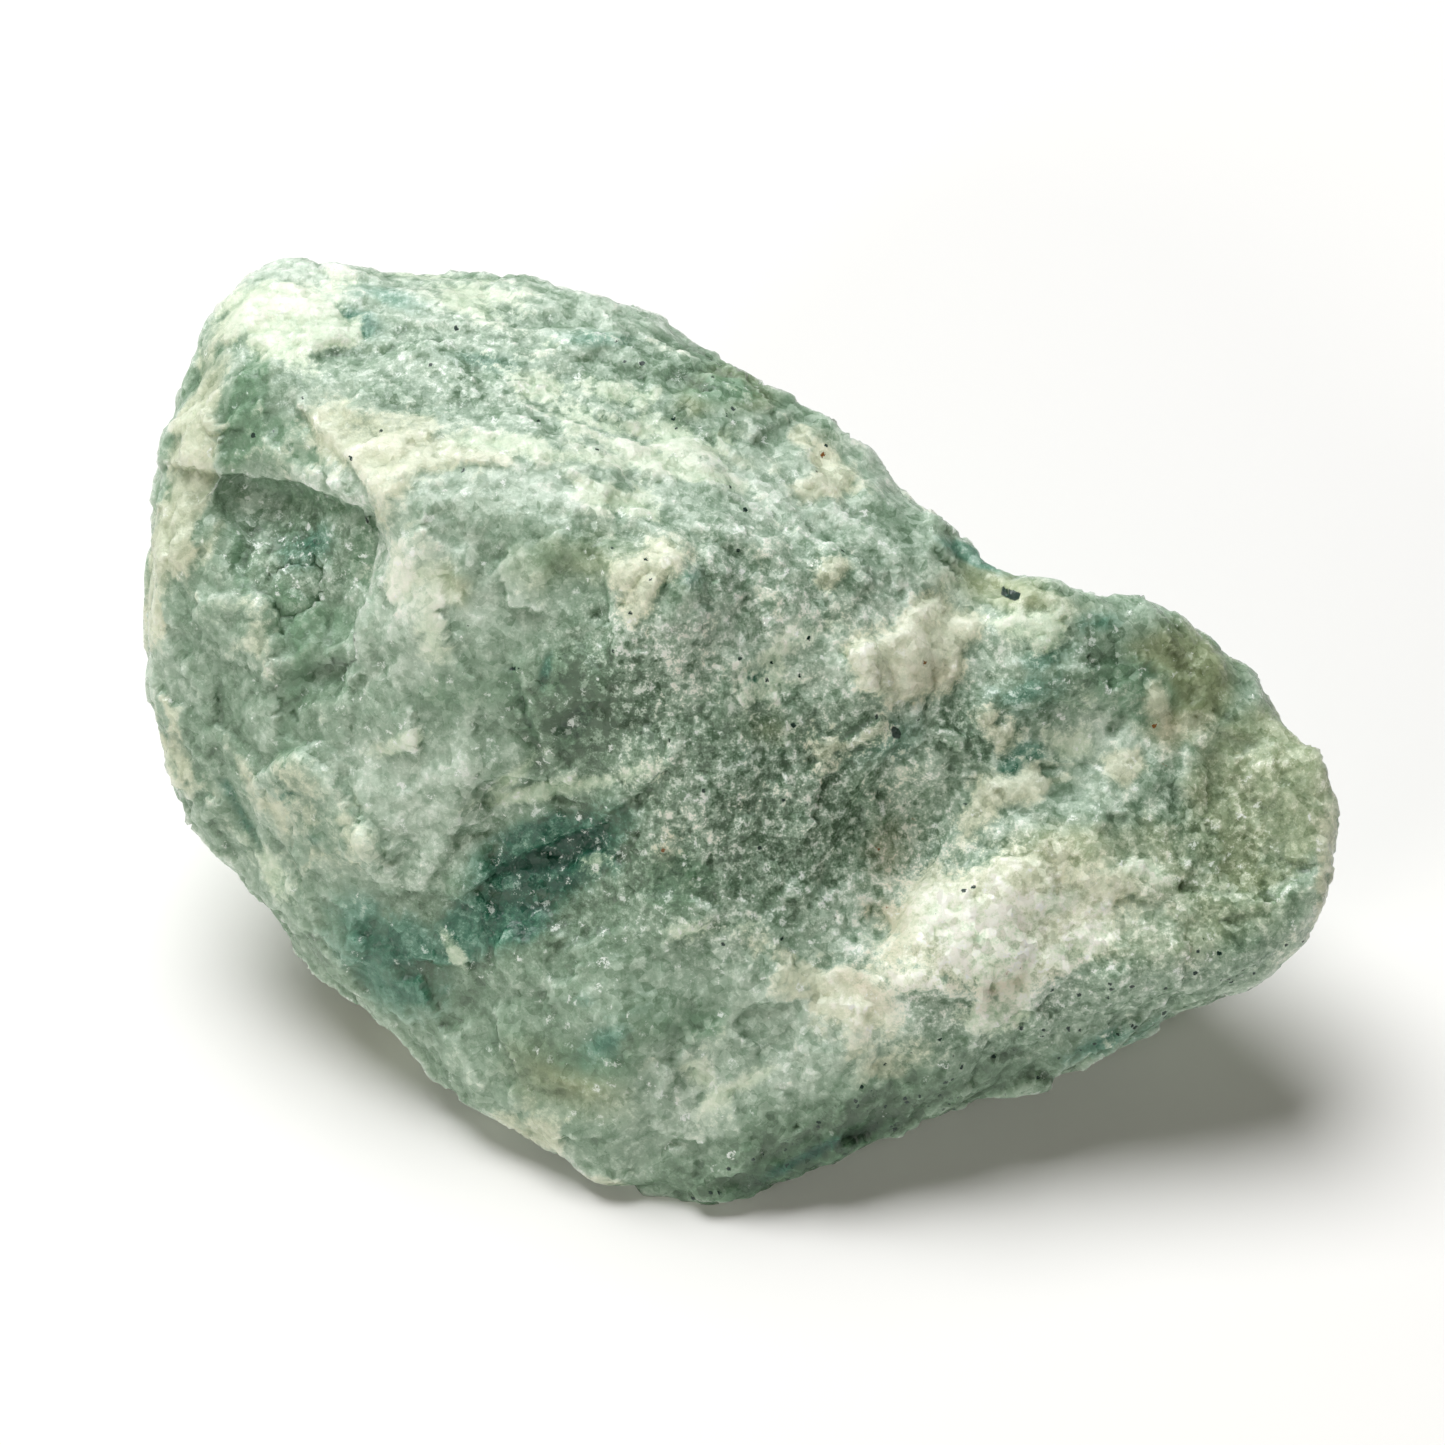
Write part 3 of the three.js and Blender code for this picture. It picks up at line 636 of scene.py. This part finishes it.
def smooth_step(low, high, values):
    part = np.clip((values - low) / (high - low), 0, 1)
    return part * part * (3 - 2 * part)


def photo_pixels(corners):
    """Where each corner of the stone lies in the photograph."""
    from_eye = corners - np.array(AIM + VIEW_BACK * AWAY)
    depth = -(from_eye @ np.array(VIEW_BACK))
    right = from_eye @ np.array(VIEW_RIGHT) / depth * FOCAL_PIXELS
    up = from_eye @ np.array(VIEW_UP) / depth * FOCAL_PIXELS
    return np.column_stack([PHOTO_SIDE / 2 + right, PHOTO_SIDE / 2 - up])


def inside_oval(places, middle, half, turn):
    """How far inside an oval each place lies: 1 in its middle, 0 on its edge."""
    along = np.array([math.cos(turn), -math.sin(turn)])
    across = np.array([math.sin(turn), math.cos(turn)])
    away = places - np.array(middle)
    return 1 - np.hypot(away @ along / half[0], away @ across / half[1])


def beside_line(places, line):
    """How far each place lies from a line of pixels, and its side: 1 on the right, going along
    the line, and -1 on the left."""
    nearest = np.full(len(places), 1e9)
    side = np.ones(len(places))
    for start, end in zip(line, line[1:]):
        run = np.subtract(end, start)
        away = places - np.array(start)
        share = np.clip(away @ run / (run @ run), 0, 1)
        distance = np.hypot(*(away - share[:, None] * run).T)
        turned = run[0] * away[:, 1] - run[1] * away[:, 0]
        closer = distance < nearest
        nearest[closer] = distance[closer]
        side[closer] = np.sign(turned[closer])
    return nearest, side


def inside_outline(places, outline):
    """How many pixels inside an outline each place lies, below 0 outside it."""
    nearest = beside_line(places, (*outline, outline[0]))[0]
    inside = np.zeros(len(places), bool)
    for (x0, y0), (x1, y1) in zip(outline, (*outline[1:], outline[0])):
        if y0 != y1:
            crosses = (places[:, 1] > min(y0, y1)) & (places[:, 1] <= max(y0, y1))
            meets = x0 + (places[:, 1] - y0) / (y1 - y0) * (x1 - x0)
            inside ^= crosses & (places[:, 0] < meets)
    return np.where(inside, nearest, -nearest)


def rough_stone():
    """The stone: the CAD solid's mesh made fine and even, then broken up and marked."""
    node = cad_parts[STONE_NODE]
    stone = bpy.data.objects.new("rough_aquamarine", node.data.copy())
    bpy.context.scene.collection.objects.link(stone)
    stone.data.materials.clear()
    select_only(stone)
    bpy.ops.object.mode_set(mode="EDIT")
    bpy.ops.mesh.select_all(action="SELECT")
    bpy.ops.mesh.remove_doubles(threshold=SAME_CORNER)
    bpy.ops.object.mode_set(mode="OBJECT")
    apply_modifier(stone, "REMESH", mode="VOXEL", voxel_size=VOXEL)
    apply_modifier(stone, "SMOOTH", factor=0.5, iterations=SOFTENING_ROUNDS)
    for name, size in BREAKS.items():
        apply_modifier(stone, "NODES", node_group=cleaving(name, **size))
    apply_modifier(stone, "SMOOTH", factor=0.5, iterations=1)
    mark_out(stone)
    lay_flat(stone)
    select_only(stone)
    bpy.ops.object.shade_smooth_by_angle(angle=SHARP_EDGE)
    return stone


def cleaving(name, across, tilt, step, thin, seed):
    """Cleaves the surface into small flat breaks, each tilted and set in or out by chance, and
    keeps a number for each break, from 0 to 1, which its material reads."""
    tree = bpy.data.node_groups.new("Cleave_" + name, "GeometryNodeTree")
    tree.interface.new_socket("Stone", in_out="INPUT", socket_type="NodeSocketGeometry")
    tree.interface.new_socket("Stone", in_out="OUTPUT", socket_type="NodeSocketGeometry")
    whole = add(tree, "NodeGroupInput")
    place = add(tree, "GeometryNodeInputPosition")
    normal = add(tree, "GeometryNodeInputNormal")

    in_mm = add(tree, "ShaderNodeVectorMath", [place, (1 / MM,) * 3], operation="MULTIPLY")
    sheeted = press_sheets(tree, in_mm, thin)
    shifted = add(tree, "ShaderNodeVectorMath", [sheeted, (seed,) * 3], operation="ADD")
    noise = add(
        tree, "ShaderNodeTexNoise", {"Vector": shifted, "Scale": 1.1 / across, "Detail": 2.0}
    )
    wander = add(
        tree,
        "ShaderNodeVectorMath",
        [noise.outputs["Color"], (0.55 * across,) * 3, shifted],
        operation="MULTIPLY_ADD",
    )
    cells = add(tree, "ShaderNodeTexVoronoi", {"Vector": wander, "Scale": 1 / across})
    own = cells.outputs["Color"]
    away = add(
        tree, "ShaderNodeVectorMath", [wander, cells.outputs["Position"]], operation="SUBTRACT"
    )
    slope = add(tree, "ShaderNodeVectorMath", [own, (0.5, 0.5, 0.5)], operation="SUBTRACT")
    tilted = add(tree, "ShaderNodeVectorMath", [away, slope], operation="DOT_PRODUCT")
    dice = add(tree, "ShaderNodeTexWhiteNoise", {"Vector": own}, noise_dimensions="3D")
    set_out = add(tree, "ShaderNodeMath", [dice, step, -step / 2], operation="MULTIPLY_ADD")
    height = add(tree, "ShaderNodeMath", [tilted, 2 * tilt, set_out], operation="MULTIPLY_ADD")
    limited = add(tree, "ShaderNodeClamp", [height, -1.4 * step, 1.4 * step])
    in_metres = add(tree, "ShaderNodeMath", [limited, MM], operation="MULTIPLY")
    moved = add(
        tree, "ShaderNodeVectorMath", {"Vector": normal, "Scale": in_metres}, operation="SCALE"
    )
    kept = add(
        tree,
        "GeometryNodeStoreNamedAttribute",
        {"Geometry": whole, "Name": name + "_break", "Value": dice},
    )
    placed = add(tree, "GeometryNodeSetPosition", {"Geometry": kept, "Offset": moved})
    add(tree, "NodeGroupOutput", [placed])
    return tree


def mark_out(stone):
    """Writes each tone's strength on the stone's corners, and raises or sinks the marks."""
    corners = read_corners(stone, "co")
    normals = read_corners(stone, "normal")
    points = corners / MM
    pixels = photo_pixels(corners)
    wavering = sum(share * lumps(points, across, seed) for share, across, seed in WAVERS)
    to_eye = np.array(AIM + VIEW_BACK * AWAY) - corners
    facing = np.einsum("ij,ij->i", normals, to_eye) / AWAY
    in_view = smooth_step(*MARK_FADE, facing + 0.1 * lumps(points, 3.0, 8.8))
    rise = np.zeros(len(points))
    tones = {tone: np.zeros(len(points)) for tone in MARKS}

    def lay(tone, depth, narrow, amount, proud, share):
        """Adds a mark: depth is how many mm each corner lies inside it, narrow its half width."""
        frayed = depth + min(FRAY, 0.3 * narrow) * wavering
        soft = min(SOFT_EDGE, narrow) * (3 if tone in BROAD_TONES else 1)
        strength = amount * share * np.clip(0.5 + 0.5 * frayed / soft, 0, 1)
        tones[tone] = np.maximum(tones[tone], strength)
        return PROUD * proud * share * smooth_step(-0.15, 0.35, frayed)

    # The small dark crystals end where the stone turns away, so none is drawn out over a crest.
    turned_to_eye = in_view * smooth_step(*CRYSTAL_FADE, facing)
    for tone, marks in MARKS.items():
        seen = turned_to_eye if tone == "ink" else in_view
        for mark in marks:
            amount = mark.get("amount", 1.0)
            if "outline" in mark:
                depth = inside_outline(pixels, mark["outline"]) / PIXELS_PER_MM
                narrow = max(0.3, depth.max())
            else:
                narrow = mark["half"][1] / PIXELS_PER_MM
                turn = math.radians(mark["turn"])
                depth = narrow * inside_oval(pixels, mark["at"], mark["half"], turn)
            rise += lay(tone, depth, narrow, amount, mark.get("rise", 0), seen)

    for ledge in LEDGES:
        distance, side = beside_line(pixels, ledge["line"])
        signed = distance * side + 5 * wavering
        fade = 1 - smooth_step(0.2, 1.0, distance / ledge["reach"])
        rise -= ledge["drop"] * fade * in_view * (1 - smooth_step(-3, 3, signed))

    for swell in SWELLS:
        turn = math.radians(swell["turn"])
        depth = inside_oval(pixels, swell["at"], swell["half"], turn)
        rise += swell["rise"] * in_view * smooth_step(0, 1, depth)

    dice = np.random.RandomState(HIDDEN_SEED)
    hidden = np.flatnonzero(in_view < 0.1)
    for tone, plan in HIDDEN_MARKS.items():
        for _ in range(plan["count"]):
            corner = dice.choice(hidden)
            size = dice.uniform(*plan["sizes"])
            narrow = size * dice.uniform(0.3, 0.75)
            amount = dice.uniform(0.6, 1.2)
            outward = Vector(normals[corner])
            along = np.array(outward.cross(SHEETS).normalized())
            across = np.cross(outward, along)
            away = points - points[corner]
            spread = np.sqrt(
                (away @ along / size) ** 2
                + (away @ across / narrow) ** 2
                + (away @ np.array(outward) / size) ** 2
            )
            depth = narrow * (1 - spread)
            rise += lay(tone, depth, narrow, amount, plan["rise"], 1 - in_view)

    for tone, strength in tones.items():
        layer = stone.data.attributes.new(tone, "FLOAT", "POINT")
        layer.data.foreach_set("value", strength)
    put_corners(stone, corners + normals * rise[:, None] * MM)
    mark_edge_wear_and_hollow_shade(stone)


def mark_edge_wear_and_hollow_shade(stone):
    """Writes how far each corner stands out from its neighbours: above 0.5 on an edge, where the
    stone is made pale, partly as bruising and partly as a painted highlight, and below it in a
    hollow, where it is made darker as painted shade."""
    corners = read_corners(stone, "co")
    normals = read_corners(stone, "normal")
    pairs = np.empty(len(stone.data.edges) * 2, np.int32)
    stone.data.edges.foreach_get("vertices", pairs)
    first, second = pairs.reshape(-1, 2).T
    count = np.bincount(pairs, minlength=len(corners))
    around = corners.copy()
    for _ in range(4):
        total = np.zeros_like(around)
        for axis in range(3):
            total[:, axis] = np.bincount(first, around[second, axis], len(corners))
            total[:, axis] += np.bincount(second, around[first, axis], len(corners))
        around = total / count[:, None]
    stands_out = np.einsum("ij,ij->i", corners - around, normals) / VOXEL
    layer = stone.data.attributes.new("worn_edge", "FLOAT", "POINT")
    layer.data.foreach_set("value", np.clip(0.5 + stands_out, 0, 1))


def lay_flat(stone):
    """Keeps the flat break flat, and the stone inside its CAD box."""
    corners = read_corners(stone, "co")
    low, high = (np.array(corner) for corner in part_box(STONE_NODE))
    corners = np.clip(corners, low, high)
    corners[corners[:, 2] < BASE_RIM, 2] = 0
    put_corners(stone, corners)


def aquamarine():
    """Massive beryl, broken and never polished. It is cloudy, so light soaks in a few millimetres
    and comes out soft and green, with white flecks, and glints where a flat break catches it,
    besides glints painted into its colour as near-white highlights."""
    material = bpy.data.materials.new("Raw_cloudy_aquamarine")
    material.use_nodes = True
    tree = material.node_tree
    tree.nodes.clear()

    tones = {
        name: add(tree, "ShaderNodeAttribute", attribute_name=name).outputs["Fac"]
        for name in (*MARKS, "large_break", "medium_break", "small_break", "worn_edge")
    }

    # Places on the stone in mm, pressed together through the sheets, and stirred a little.
    place = add(tree, "ShaderNodeTexCoord").outputs["Object"]
    in_mm = add(tree, "ShaderNodeVectorMath", [place, (1 / MM,) * 3], operation="MULTIPLY")
    sheeted = press_sheets(tree, in_mm, 3.0)
    swirl = add(tree, "ShaderNodeTexNoise", {"Vector": in_mm, "Scale": 1 / 3.0, "Detail": 2.0})
    stirred = add(
        tree,
        "ShaderNodeVectorMath",
        [swirl.outputs["Color"], (4.0, 4.0, 4.0), sheeted],
        operation="MULTIPLY_ADD",
    )

    # Clouds of 6 mm, streaks of 1.5 mm, and jagged flecks of 0.1 to 0.5 mm.
    noises = {
        name: add(
            tree,
            "ShaderNodeTexNoise",
            {"Vector": vector, "Scale": 1 / across, "Detail": detail, "Roughness": rough},
        )
        for name, vector, across, detail, rough in (
            ("clouds", stirred, 6.0, 3.0, 0.6),
            ("streaks", stirred, 1.5, 3.0, 0.7),
            ("flecks", in_mm, 0.5, 4.0, 0.8),
        )
    }
    white_flecks, dark_flecks = (
        add(
            tree,
            "ShaderNodeMapRange",
            {"Value": noises["flecks"], "From Min": none, "From Max": full},
            interpolation_type="SMOOTHSTEP",
        )
        for none, full in ((0.52, 0.6), (0.48, 0.41))
    )

    # Crystal grains, each with its own tone and with a flat break that tilts its own way.
    grains = add(tree, "ShaderNodeTexVoronoi", {"Vector": in_mm, "Scale": 1 / GRAIN})
    grain_parts = add(tree, "ShaderNodeSeparateColor", [grains.outputs["Color"]])
    away = add(
        tree, "ShaderNodeVectorMath", [in_mm, grains.outputs["Position"]], operation="SUBTRACT"
    )
    tilt = add(
        tree,
        "ShaderNodeVectorMath",
        [grains.outputs["Color"], (0.5, 0.5, 0.5)],
        operation="SUBTRACT",
    )
    facets = add(tree, "ShaderNodeVectorMath", [away, tilt], operation="DOT_PRODUCT")

    # How cloudy the stone is at a place, from 0, clear and dark, to 1, milky and pale. Painted
    # shade is mixed in, darker in hollows and along the under strip's lower edge, and a painted
    # highlight makes edges paler.
    cloudiness_with_painted_light = add(
        tree, "ShaderNodeMath", [noises["clouds"], 0.56, 0.22], operation="MULTIPLY_ADD"
    )
    for source, share in (
        (noises["streaks"], 0.29),
        (grain_parts, 0.1),
        (tones["large_break"], 0.06),
        (tones["medium_break"], 0.08),
        (tones["small_break"], 0.05),
        # Paler on edges, partly bruising and partly painted highlight; darker in hollows as painted
        # shade.
        (tones["worn_edge"], 0.2),
    ):
        centred = add(tree, "ShaderNodeMath", [source, 0.5], operation="SUBTRACT")
        cloudiness_with_painted_light = add(
            tree, "ShaderNodeMath", [centred, share, cloudiness_with_painted_light], operation="MULTIPLY_ADD"
        )
    for tone, share in (("pale", 0.24), ("deep", -0.2)):
        cloudiness_with_painted_light = add(
            tree, "ShaderNodeMath", [tones[tone], share, cloudiness_with_painted_light], operation="MULTIPLY_ADD"
        )
    for source, least, share in ((white_flecks, 0.1, 0.3), (dark_flecks, -0.05, -0.2)):
        strength = add(
            tree, "ShaderNodeMath", [tones["sugar"], share, least], operation="MULTIPLY_ADD"
        )
        cloudiness_with_painted_light = add(
            tree, "ShaderNodeMath", [source, strength, cloudiness_with_painted_light], operation="MULTIPLY_ADD"
        )

    # Each tone's share of the surface: its mark, with an edge frayed by the clouds and flecks,
    # and that follows the small flat breaks.
    uneven = add(tree, "ShaderNodeMath", [cloudiness_with_painted_light, 0.5], operation="SUBTRACT")
    for source, share in ((tones["medium_break"], 0.45), (tones["small_break"], 0.35)):
        centred = add(tree, "ShaderNodeMath", [source, 0.5], operation="SUBTRACT")
        uneven = add(tree, "ShaderNodeMath", [centred, share, uneven], operation="MULTIPLY_ADD")
    zones = {}
    for tone, edge, fray, most in (
        ("olive", 0.42, 0.3, 0.9),
        ("moss", 0.2, 0.3, 1.0),
        ("teal", 0.25, 0.5, 1.0),
        ("cream", 0.25, 0.8, 0.88),
        ("milk", 0.25, 0.9, 0.88),
        ("rust", 0.3, 0.3, 1.0),
        ("ink", 0.1, 0.0, 1.0),
    ):
        frayed = add(tree, "ShaderNodeMath", [uneven, fray, tones[tone]], operation="MULTIPLY_ADD")
        zones[tone] = add(
            tree,
            "ShaderNodeMapRange",
            {"Value": frayed, "From Min": 0.5 - edge, "From Max": 0.5 + edge, "To Max": most},
            interpolation_type="SMOOTHSTEP",
        )

    # Colours from clear to cloudy, of the body and of each tone.
    colour = add(
        tree,
        "ShaderNodeValToRGB",
        [cloudiness_with_painted_light],
        stops=(
            (0.2, 0x5A735B), (0.36, 0x7D997F), (0.52, 0xA1B8A2), (0.7, 0xCDDDCC), (0.86, 0xF0F6ED)
        ),
    )
    for tone, stops in (
        ("olive", ((0.2, 0x7A865E), (0.5, 0xA2AE86), (0.7, 0xC0C9A6), (0.9, 0xE2E7CF))),
        ("moss", ((0.0, 0x2C4634), (0.25, 0x557559), (0.5, 0x7C9E80), (0.8, 0xBCCFBA))),
        ("teal", ((0.2, 0x1D5340), (0.4, 0x437A62), (0.6, 0x7FA994), (0.8, 0xC5DDD0))),
        ("cream", ((0.3, 0xA7B294), (0.6, 0xD8DEC4), (0.95, 0xF6F7DF))),
        ("milk", ((0.3, 0xAEC9A9), (0.6, 0xDCE9D1), (0.95, 0xFCFEF0))),
    ):
        shades = add(tree, "ShaderNodeValToRGB", [cloudiness_with_painted_light], stops=stops)
        colour = add(
            tree,
            "ShaderNodeMix",
            {"Factor": zones[tone], "A": colour, "B": shades},
            data_type="RGBA",
        )

    # Iron stains, with rusty dots in them, and black specks of mica, thick only in their own bands.
    # Also glints painted into the colour as near-white highlights, most of them where the stone
    # shows
    # a bright sheen; those grains are made glossier too. Each takes a grain that is picked by
    # chance:
    # dots and specks its middle 0.1 to 0.3 mm, glints its white flecks.
    reach = add(tree, "ShaderNodeMath", [noises["flecks"], 1.4, -0.48], operation="MULTIPLY_ADD")
    middles = add(
        tree, "ShaderNodeMath", [grains.outputs["Distance"], reach], operation="LESS_THAN"
    )
    spots = {}
    for name, tone, share, least, chance_of, area in (
        ("mica", tones["specks"], 0.6, 0.001, "Green", middles),
        ("rust_dots", zones["rust"], 0.12, 0.0, "Red", middles),
        ("glints", tones["silver"], 0.5, 0.04, "Blue", white_flecks),
    ):
        often = add(tree, "ShaderNodeMath", [tone, share, least], operation="MULTIPLY_ADD")
        picked = add(
            tree, "ShaderNodeMath", [grain_parts.outputs[chance_of], often], operation="LESS_THAN"
        )
        spots[name] = add(tree, "ShaderNodeMath", [area, picked], operation="MULTIPLY")
    dark = add(tree, "ShaderNodeMath", [spots["mica"], zones["ink"]], operation="MAXIMUM")
    stained = add(tree, "ShaderNodeMath", [zones["rust"], 0.35], operation="MULTIPLY")
    whiteness = add(
        tree, "ShaderNodeMath", [grain_parts.outputs["Green"], 0.7, 0.2], operation="MULTIPLY_ADD"
    )
    # Painted highlight: the picked glint grains are whitened in the colour.
    glint_white = add(tree, "ShaderNodeMath", [spots["glints"], whiteness], operation="MULTIPLY")
    for share, hex_colour in (
        (stained, 0xA98A58),
        (glint_white, 0xF4FAF5),
        (spots["rust_dots"], 0x8A5E34),
        (dark, 0x18362C),
    ):
        colour = add(
            tree,
            "ShaderNodeMix",
            {"Factor": share, "A": colour, "B": linear(hex_colour)},
            data_type="RGBA",
        )

    # Relief too fine for the mesh, in mm: the grains' flat breaks, and the flecks.
    rough_places = add(
        tree, "ShaderNodeMath", [tones["sugar"], tones["silver"]], operation="MAXIMUM"
    )
    steep = add(tree, "ShaderNodeMath", [rough_places, 0.5, 0.35], operation="MULTIPLY_ADD")
    tilted = add(tree, "ShaderNodeMath", [facets, steep], operation="MULTIPLY")
    relief = add(tree, "ShaderNodeMath", [noises["flecks"], 0.11, tilted], operation="MULTIPLY_ADD")
    bump = add(tree, "ShaderNodeBump", {"Strength": 1.0, "Distance": MM, "Height": relief})

    gloss = add(tree, "ShaderNodeMath", [grain_parts, 0.35, 0.14], operation="MULTIPLY_ADD")
    glossy = add(tree, "ShaderNodeMath", [spots["glints"], -0.4, gloss], operation="MULTIPLY_ADD")
    roughness = add(tree, "ShaderNodeMath", [glossy, 0.08], operation="MAXIMUM")
    surface = add(
        tree,
        "ShaderNodeBsdfPrincipled",
        {
            "Base Color": colour,
            "Roughness": roughness,
            "IOR": 1.57,
            "Subsurface Weight": 0.6,
            "Subsurface Radius": (1.0, 0.9, 0.9),
            "Subsurface Scale": 3.0 * MM,
            "Normal": bump,
        },
        subsurface_method="RANDOM_WALK",
    )
    add(tree, "ShaderNodeOutputMaterial", {"Surface": surface})
    return material


def pale_floor():
    """Matt white card under the stone: an even, pale ground without a shine."""
    bpy.ops.object.select_all(action="DESELECT")
    bpy.ops.mesh.primitive_plane_add(size=3.0, location=(0, 0, 0))
    floor = bpy.context.object
    floor.name = "pale_floor"
    material = bpy.data.materials.new("Matt_white_card")
    material.use_nodes = True
    surface = material.node_tree.nodes["Principled BSDF"]
    surface.inputs["Base Color"].default_value = linear(0xF4F3F1)
    surface.inputs["Roughness"].default_value = 0.9
    surface.inputs["Specular IOR Level"].default_value = 0.1
    floor.data.materials.append(material)


def soft_light(name, place, size, watts, colour):
    """A wide, soft studio light that faces the stone."""
    lamp = bpy.data.lights.new(name, "AREA")
    lamp.shape = "DISK"
    lamp.size = size
    lamp.energy = watts
    lamp.color = linear(colour)[:3]
    holder = bpy.data.objects.new(name, lamp)
    holder.location = place
    holder.rotation_euler = (AIM - Vector(place)).to_track_quat("-Z", "Y").to_euler()
    bpy.context.scene.collection.objects.link(holder)


def studio():
    scene = bpy.context.scene
    scene.view_settings.view_transform = "Standard"
    scene.view_settings.look = "None"
    world = bpy.data.worlds.new("Soft_white_room")
    world.use_nodes = True
    background = world.node_tree.nodes["Background"]
    background.inputs["Color"].default_value = linear(0xF8EDD8)
    background.inputs["Strength"].default_value = 0.06
    scene.world = world
    soft_light("Window_above", (-0.2, 0.29, 0.8), 0.65, 9.4, 0xFDFEFF)
    soft_light("Window_in_front", (-0.46, -0.66, 0.36), 0.25, 2.2, 0xFFFCF4)


def photo_camera():
    data = bpy.data.cameras.new("Camera")
    data.sensor_width = 36
    data.lens = data.sensor_width * FOCAL_PIXELS / PHOTO_SIDE
    data.clip_start = 0.01
    camera = bpy.data.objects.new("Camera", data)
    camera.location = AIM + VIEW_BACK * AWAY
    camera.rotation_euler = (-VIEW_BACK).to_track_quat("-Z", "Y").to_euler()
    bpy.context.scene.collection.objects.link(camera)
    bpy.context.scene.camera = camera


photo_camera()
studio()
pale_floor()

stone = rough_stone()
stone.data.materials.append(aquamarine())
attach(stone, "root")
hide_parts(STONE_NODE)
